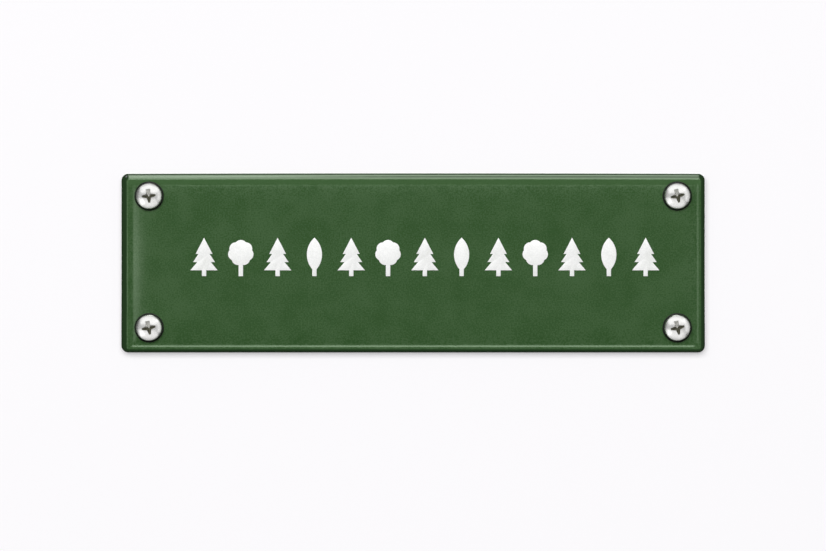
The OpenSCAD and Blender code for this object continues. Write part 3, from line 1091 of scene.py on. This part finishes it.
@dataclass
class PanScrew:
    """A pan-head screw with a cross recess and a helical thread, made once and copied."""

    head_d: float = 8.9 * MM
    head_h: float = 3.0 * MM
    side_h: float = 1.1 * MM
    brim_r: float = 0.25 * MM
    brim_gap: float = 2.0  # degrees by which the dome stops short of its brim
    brow_h: float = 0.12 * MM  # how far under the brim the straight side starts
    dome_steps: int = 20
    lathe_steps: int = 96
    length: float = 30.0 * MM
    shank_d: float = 3.3 * MM
    shank_l: float = 12.0 * MM
    neck_r: float = 0.2 * MM
    shoulder_l: float = 0.3 * MM
    tip: Point = (0.12 * MM, 0.05 * MM)
    thread_d: float = 4.5 * MM
    thread_depth: float = 0.75 * MM
    pitch: float = 2.0 * MM
    ridge_foot_w: float = 1.1 * MM
    ridge_crest_w: float = 0.24 * MM
    ridge_sunk: float = 0.3 * MM  # how deep the ridge's foot lies in the core
    turn_steps: int = 32
    lead_in: float = 0.8 * MM
    run_out: float = 1.2 * MM
    run_out_share: float = 0.72
    point_l: float = 5.0 * MM
    bare_tip_l: float = 1.0 * MM
    recess_d: float = 5.5 * MM
    recess_depth: float = 2.2 * MM
    recess_foot_d: float = 2.3 * MM
    wing_w: float = 1.7 * MM
    wing_tip_w: float = 0.8 * MM
    worn_tip_w: float = 2.1 * MM
    wing_round: float = 0.08 * MM
    pit_depth: float = 0.4 * MM
    pit_taper: float = 0.1
    painted_shade_gain: float = 3.0
    painted_shade_reach: float = 0.3 * MM
    turns: dict[Corner, float] = field(default_factory=lambda: {
        Corner.TOP_LEFT: 6, Corner.TOP_RIGHT: 13, Corner.BOTTOM_LEFT: 12, Corner.BOTTOM_RIGHT: 13,
    })

    def outline(self) -> list[Point]:
        """Draws the screw's outline, from the top of its head down to its tip."""
        head_r = self.head_d / 2
        dome_r = self.dome_r()
        brim = math.degrees(math.asin(head_r / dome_r))
        dome = arc((0, self.head_h - dome_r), dome_r, 90, 90 - brim + self.brim_gap, self.dome_steps)
        core_r = self.thread_d / 2 - self.thread_depth
        shank_r = self.shank_d / 2
        under = [(head_r, self.side_h - self.brow_h), (head_r, self.brim_r)]
        under += arc((head_r - self.brim_r, self.brim_r), self.brim_r, 0, -90, 3)[1:]
        shank = [(shank_r + self.neck_r, 0.0), (shank_r, -self.neck_r), (shank_r, -self.shank_l)]
        thread = [(core_r, -self.shank_l - self.shoulder_l), (core_r, self.point_l - self.length)]
        return dome + under + shank + thread + [(self.tip[0], -self.length + self.tip[1]), (0, -self.length)]

    def recess(self) -> Workpiece:
        """Makes the cutter of the cross recess: four tapered wings over a pointed pit."""
        foot = self.head_h - self.recess_depth
        over = 0.5 * MM
        half_w = self.wing_w / 2
        grow = 1 + over / self.recess_depth * (1 - self.recess_foot_d / self.recess_d)
        low, high = Vector((-half_w, -half_w, foot)), Vector((half_w, half_w, foot + over))
        cross = Workpiece.box("recess", low, high)
        cross.edit()
        cross.pick_faces(lambda middle, normal: normal.z > FACING)
        bpy.ops.transform.translate(value=(0, 0, self.recess_depth))
        for turn in range(4):
            way = Vector((round(math.cos(turn * math.pi / 2)), round(math.sin(turn * math.pi / 2)), 0))
            cross.pick_faces(lambda middle, normal: normal.dot(way) > FACING
                             and (middle - way * half_w).xy.length < half_w / 2)
            arm = way * (self.recess_d / 2 * grow - half_w)
            bpy.ops.mesh.extrude_region_move(TRANSFORM_OT_translate={"value": arm})
            tip = (self.worn_tip_w if turn == 1 else self.wing_tip_w) / self.wing_w
            narrow = (tip if way.y else 1, tip if way.x else 1, 1)
            bpy.ops.transform.resize(value=narrow, center_override=(0, 0, 0))
        cross.pick_verts(lambda v: v.z < foot + over / 2)
        shrink = self.recess_foot_d / self.recess_d / grow
        bpy.ops.transform.resize(value=(shrink, shrink, 1.0), center_override=(0, 0, foot))
        cross.pick_edges(lambda a, b: abs(a.z - b.z) > over)
        bpy.ops.mesh.bevel(offset=self.wing_round, segments=3, affect="EDGES")
        cross.pick_faces(lambda middle, normal: normal.z < -FACING)
        bpy.ops.mesh.extrude_region_move(TRANSFORM_OT_translate={"value": (0, 0, -self.pit_depth)})
        bpy.ops.transform.resize(value=(self.pit_taper, self.pit_taper, 1), center_override=(0, 0, foot))
        cross.rest()
        return cross

    def ridge(self) -> Workpiece:
        """Makes the thread's ridge as a closed coil that tapers in at both ends."""
        start = self.bare_tip_l - self.length
        run = self.length - self.shank_l - self.bare_tip_l - self.ridge_foot_w
        core_r = self.thread_d / 2 - self.thread_depth
        sunk = self.ridge_sunk
        side = 2 * MM
        deselect_all()
        bpy.ops.mesh.primitive_plane_add(size=side, rotation=(math.radians(90), 0, 0))
        coil = Workpiece("ridge")
        coil.settle()
        coil.edit()
        coil.pick_verts(lambda v: v.x > 0)
        bpy.ops.transform.resize(value=(1, 1, self.ridge_crest_w / side), center_override=(0, 0, 0))
        coil.pick_verts(lambda v: v.x < 0)
        foot_w = self.ridge_foot_w * (self.thread_depth + sunk) / self.thread_depth
        bpy.ops.transform.resize(value=(1, 1, foot_w / side), center_override=(0, 0, 0))
        bpy.ops.mesh.select_all(action="SELECT")
        depth = (self.thread_depth + sunk) / side
        bpy.ops.transform.resize(value=(depth, 1, 1), center_override=(0, 0, 0))
        middle = core_r + (self.thread_depth - sunk) / 2
        bpy.ops.transform.translate(value=(middle, 0, start + self.ridge_foot_w / 2))
        coil.rest()
        steps = int(self.turn_steps * run / self.pitch)
        coil.modify("SCREW", angle=math.tau * run / self.pitch, screw_offset=run, steps=steps,
                    render_steps=steps, axis="Z", use_merge_vertices=True)
        coil.edit()
        bpy.ops.mesh.select_all(action="SELECT")
        bpy.ops.mesh.fill_holes(sides=4)
        bpy.ops.mesh.normals_make_consistent(inside=False)
        coil.rest()
        top = start + run + self.ridge_foot_w
        for vert in coil.obj.data.vertices:
            low_share = (vert.co.z - start + self.lead_in) / (self.point_l + self.lead_in)
            high_share = max(0.0, (top - vert.co.z) / self.run_out) + self.run_out_share
            share = min(1.0, low_share, high_share)
            vert.co.x *= share
            vert.co.y *= share
        return coil

    def pattern(self) -> Workpiece:
        """Makes one screw along Z, its head's seat at the origin."""
        screw = Workpiece.lathe("pan_screw", self.outline(), self.lathe_steps)
        screw.subtract(self.recess())
        screw.join(self.ridge())
        middle = self.head_h - self.dome_r()

        def recess(place: Vector) -> float:
            """Gives how deep in the recess a place lies, from 0 at the dome to 1 at its foot."""
            radius = math.hypot(place.x, place.y)
            if place.z < 0 or radius > self.recess_d / 2 + self.painted_shade_reach:
                return 0.0
            surface = middle + math.sqrt(max(0.0, self.dome_r() ** 2 - radius**2))
            return min(1.0, max(0.0, (surface - place.z) / self.recess_depth))

        def painted_shade(place: Vector) -> float:
            """Gives how much painted shade a place gets: darker deeper in the recess, except in its upper
            wing.
            """
            # Every wing but the upper one gets painted shade, more the deeper it lies.
            unshaded_wing = abs(place.x) < place.y + self.painted_shade_reach
            return 0.0 if unshaded_wing else min(1.0, self.painted_shade_gain * recess(place))

        screw.mark("recess", recess)
        screw.mark("painted_shade", painted_shade)
        screw.mark("axis_distance", lambda place: math.hypot(place.x, place.y) / MM)
        screw.smooth(38)
        return screw

    def dome_r(self) -> float:
        """Gives the radius of the ball that the head's dome is a cap of."""
        dome_h = self.head_h - self.side_h
        return ((self.head_d / 2) ** 2 + dome_h**2) / (2 * dome_h)


@dataclass
class RubberRing:
    """A moulded rubber ring: the washer under a head, or the spacer behind the plate."""

    outer_d: float
    bore_d: float
    height: float
    edge_r: float
    bulge: float
    lip: float = 0.12 * MM
    lathe_steps: int = 72

    def pattern(self, name: str) -> Workpiece:
        """Makes the ring along Z, from Z = 0 up.

        Args:
            name: The ring's name.

        Returns:
            The ring, its outer side bulged by the screw's pull.
        """
        bore_r = self.bore_d / 2
        outer_r = self.outer_d / 2 - self.bulge
        outline = [(bore_r, self.lip), (bore_r + self.lip, 0.0)]
        outline += arc((outer_r - self.edge_r, self.edge_r), self.edge_r, -90, -20, 4)
        outline.append((outer_r + self.bulge, self.height / 2))
        outline += arc((outer_r - self.edge_r, self.height - self.edge_r), self.edge_r, 20, 90, 4)
        outline += [(bore_r + self.lip, self.height), (bore_r, self.height - self.lip), outline[0]]
        ring = Workpiece.lathe(name, outline, self.lathe_steps)
        ring.smooth(50)
        return ring


@dataclass
class Fixings:
    """What holds the plate at its corners: screws, washers, spacers and wall plugs."""

    body: str
    seats: dict[Corner, Vector]
    washer_t: float = 1.0 * MM
    washer: RubberRing = field(default_factory=lambda: RubberRing(
        outer_d=10 * MM, bore_d=4.8 * MM, height=0.98 * MM, edge_r=0.3 * MM, bulge=0.04 * MM
    ))
    spacer_d: float = 9.4 * MM

    def build(self, frame: dict) -> None:
        """Makes the four of each piece and dresses them.

        Args:
            frame: The loaded frame.
        """
        screw = PanScrew()
        steel, rubber, dusty_rubber, nylon = PolishedSteel(), MouldedRubber(), DustyRubber(), GreyNylon()
        low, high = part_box("spacer_top_left")
        height = high.y - low.y
        spacer = RubberRing(self.spacer_d, self.washer.bore_d, height, edge_r=0.4 * MM, bulge=0.05 * MM)
        screw_pattern = screw.pattern()
        washer_pattern = self.washer.pattern("washer")
        spacer_pattern = spacer.pattern("spacer")
        for corner, seat in self.seats.items():
            name = corner.value
            made = screw_pattern.twin(f"pan_screw_{name}")
            made.place(facing_out(seat, screw.turns[corner]))
            made.dress(f"screw_{name}", "screw_steel", steel, f"screw_{name}")
            made = washer_pattern.twin(f"rubber_washer_{name}")
            made.place(facing_out(seat + Vector((0, self.washer_t, 0))))
            made.dress(f"washer_{name}", "washer_rubber", rubber, f"washer_{name}")
            made = spacer_pattern.twin(f"rubber_spacer_{name}")
            made.place(facing_out(Vector((seat.x, 0, seat.z))))
            made.dress(self.body, "spacer_rubber", dusty_rubber, f"spacer_{name}")
            nylon.coat(frame["nodes"][f"plug_{name}"])
        for pattern in (screw_pattern, washer_pattern, spacer_pattern):
            pattern.discard()


# Studio


@dataclass(frozen=True)
class Softbox:
    """A rectangular soft light. Its angles are as seen from the sign, from straight ahead, in degrees."""

    name: str
    azimuth: float
    elevation: float
    across: float
    up: float
    radiance: float
    distance: float = 1.5
    aim_x: float = 0.0
    diffuse: bool = False
    glossy: bool = True

    def hang(self, face_y: float) -> bpy.types.Object:
        """Hangs the light and aims it at the sign.

        Args:
            face_y: The depth of the sign's face.

        Returns:
            The light's object.
        """
        light = bpy.data.lights.new(self.name, "AREA")
        light.shape = "RECTANGLE"
        light.size = 2 * self.distance * math.tan(math.radians(self.across) / 2)
        light.size_y = 2 * self.distance * math.tan(math.radians(self.up) / 2)
        light.energy = self.radiance * math.pi * light.size * light.size_y
        box = bpy.data.objects.new(self.name, light)
        bpy.context.scene.collection.objects.link(box)
        turn, rise = math.radians(self.azimuth), math.radians(self.elevation)
        way = Vector((math.sin(turn) * math.cos(rise), -math.cos(turn) * math.cos(rise), math.sin(rise)))
        box.location = Vector((self.aim_x, face_y, 0)) + way * self.distance
        box.rotation_euler = way.to_track_quat("Z", "Y").to_euler()
        box.visible_camera = False
        box.visible_diffuse = self.diffuse
        box.visible_glossy = self.glossy
        return box


@dataclass
class Studio:
    """A white wall, a pale floor, soft lights and the camera."""

    face_y: float
    wall_y: float = 0.1 * MM
    wall_w: float = 6.0
    wall_top: float = 2.0
    floor_z: float = -1.3
    camera_x: float = -0.05 * MM
    camera_z: float = -4.67 * MM
    camera_distance: float = 1964.0 * MM
    lens: float = 250.0
    sensor: float = 36.0
    wall_white: Colour = (0.982, 0.970, 0.990)
    wall_glow: float = 0.37
    floor_w: float = 60.0
    floor_paint: Colour = (0.85, 0.85, 0.85)
    floor_white: Colour = (0.93, 0.93, 0.935)
    floor_glow: float = 0.75
    ambient: float = 0.12
    mirrored: float = 0.1
    lights: tuple[Softbox, ...] = (
        Softbox("front_soft", -5, 17.5, 54, 38, 5.15, distance=4.5, diffuse=True, glossy=False),
        Softbox("top_low", 0, 28.5, 26, 31, 4.3, distance=1.0),
        Softbox("top_gap", 0, 53, 26, 18, 1.9, distance=1.0),
        Softbox("top_high", 0, 73, 26, 20, 6.0, distance=1.0),
        Softbox("top_gap_left", 0, 53, 9, 18, 6.0, distance=0.97, aim_x=-0.125),
        Softbox("top_back", 0, 124, 26, 44, 1.5, distance=1.0),
        Softbox("left_far", -16, 0, 8, 20, 1.22, distance=3.0, aim_x=0.095),
        Softbox("left_near", -12.8, 0, 16, 6, 0.66, distance=0.3, aim_x=-0.0975),
        Softbox("right_near", 12.8, 0, 16, 6, 0.14, distance=0.3, aim_x=0.0975),
        Softbox("back_soft", 180, 20, 56, 42, 3.6, diffuse=True),
    )
    head_lights: tuple[Softbox, ...] = (
        Softbox("head_fill", 0, 0, 150, 150, 0.43),
        Softbox("head_top", -6, 56, 102, 68, 0.62),
        Softbox("head_left", -62, -28, 36, 36, 0.6),
        Softbox("head_right", 75, 10, 40, 70, 0.46),
        Softbox("head_low", -8, -60, 100, 80, 0.42, distance=1.2),
    )

    def add_camera(self) -> None:
        """Adds the camera, square to the sign."""
        data = bpy.data.cameras.new("camera")
        data.lens, data.sensor_width = self.lens, self.sensor
        data.clip_start, data.clip_end = 0.01, 60.0
        camera = bpy.data.objects.new("camera", data)
        bpy.context.scene.collection.objects.link(camera)
        camera.location = (self.camera_x, self.face_y - self.camera_distance, self.camera_z)
        camera.rotation_euler = (math.radians(90), 0, 0)
        bpy.context.scene.camera = camera

    def glowing(self, recipe: Recipe, colour: Colour, share: float) -> bpy.types.NodeSocket:
        """Mixes plain white glow into a surface, for the camera alone.

        Args:
            recipe: The surface's recipe.
            colour: The glow's colour.
            share: The glow's share of what the camera sees.

        Returns:
            The mixed shader.
        """
        glow = recipe.result("ShaderNodeEmission", 0, {"Color": colour, "Strength": 1.0})
        seen = recipe.result("ShaderNodeLightPath", "Is Camera Ray", {})
        seen = recipe.maths("MULTIPLY", seen, share)
        return recipe.result("ShaderNodeMixShader", 0, {0: seen, 1: recipe.shader.outputs[0], 2: glow})

    def add_plane(self, name: str, recipe: Recipe, scale: Point, **settings: object) -> None:
        """Adds a backdrop that only the camera sees.

        Args:
            name: The backdrop's name.
            recipe: Its finished material.
            scale: How far it is stretched along its two sides.
            **settings: The settings of the plane that it is made from.
        """
        deselect_all()
        bpy.ops.mesh.primitive_plane_add(**settings)
        plane = Workpiece(name).obj
        plane.scale = (*scale, 1)
        plane.data.materials.append(recipe.material)
        plane.visible_diffuse = False
        plane.visible_glossy = False
        plane.visible_shadow = False
        plane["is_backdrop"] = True

    def add_wall(self) -> None:
        """Adds the wall, which is seen only from its front."""
        recipe = Recipe("wall_paint")
        recipe.surface(
            Base_Color=self.wall_white, Roughness=0.9, Specular_IOR_Level=0.0,
            Normal=recipe.relief(recipe.noise(0.8 * MM), 0.002 * MM),
        )
        front = self.glowing(recipe, self.wall_white, self.wall_glow)
        back = recipe.result("ShaderNodeNewGeometry", "Backfacing", {})
        clear = recipe.result("ShaderNodeBsdfTransparent", 0, {})
        sides = recipe.result("ShaderNodeMixShader", 0, {0: back, 1: front, 2: clear})
        recipe.link(sides, recipe.output.inputs["Surface"])
        middle = (0, self.wall_y, (self.wall_top + self.floor_z) / 2)
        sizes = (self.wall_w, self.wall_top - self.floor_z)
        self.add_plane("wall", recipe, sizes, size=1, location=middle, rotation=(math.radians(90), 0, 0))

    def add_floor(self) -> None:
        """Adds the floor, pale to the camera at any distance."""
        recipe = Recipe("floor_paint")
        recipe.surface(Base_Color=self.floor_paint, Roughness=0.8)
        recipe.link(self.glowing(recipe, self.floor_white, self.floor_glow), recipe.output.inputs["Surface"])
        self.add_plane("floor", recipe, (1, 1), size=self.floor_w, location=(0, 0, self.floor_z))

    def add_world(self) -> None:
        """Adds a white world: full strength to the camera, less in reflections, and dim to the rest."""
        world = bpy.data.worlds.new("studio")
        bpy.context.scene.world = world
        world.use_nodes = True
        tree = world.node_tree
        back = tree.nodes["Background"]
        back.inputs["Color"].default_value = (1, 1, 1, 1)
        path = tree.nodes.new("ShaderNodeLightPath")
        strength = None
        for ray, level in (("Is Glossy Ray", self.mirrored), ("Is Camera Ray", 1.0)):
            pick = tree.nodes.new("ShaderNodeMix")
            pick.inputs["A"].default_value = self.ambient
            pick.inputs["B"].default_value = level
            tree.links.new(path.outputs[ray], pick.inputs["Factor"])
            if strength is not None:
                tree.links.new(strength, pick.inputs["A"])
            strength = pick.outputs["Result"]
        tree.links.new(strength, back.inputs["Strength"])

    def add_lights(self) -> None:
        """Hangs the lights, some of which serve the screws alone."""
        heads = bpy.data.collections.new("heads_lit")
        rest = bpy.data.collections.new("rest_lit")
        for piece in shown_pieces():
            lit = heads if piece.name.startswith("pan_screw") else rest
            lit.objects.link(piece)
        for box in self.lights:
            hung = box.hang(self.face_y)
            if not box.diffuse:
                hung.light_linking.receiver_collection = rest
        for box in self.head_lights:
            box.hang(self.face_y).light_linking.receiver_collection = heads

    def build(self) -> None:
        """Sets up the whole studio."""
        self.add_camera()
        self.add_wall()
        self.add_floor()
        self.add_world()
        self.add_lights()
        bpy.context.scene.view_settings.view_transform = "Standard"
        LOG.info("studio: %d lights", len(bpy.data.lights))


def main() -> None:
    """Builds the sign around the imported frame, and the studio around the sign."""
    logging.basicConfig(level=logging.INFO, format="%(name)s: %(message)s")
    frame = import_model()
    root = "sign"
    joints = {joint["name"]: joint for joint in frame["joints"]}
    seats = {corner: Vector(joints[f"{corner.value}_turn"]["pos_m"]) for corner in Corner}
    EnamelPlate(root, *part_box("green_enamel")).build(frame, list(seats.values()))
    TreeRow(root).build()
    Fixings(root, seats).build(frame)
    face_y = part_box("green_enamel")[0].y
    Studio(face_y).build()


if __name__ == "__main__":
    main()
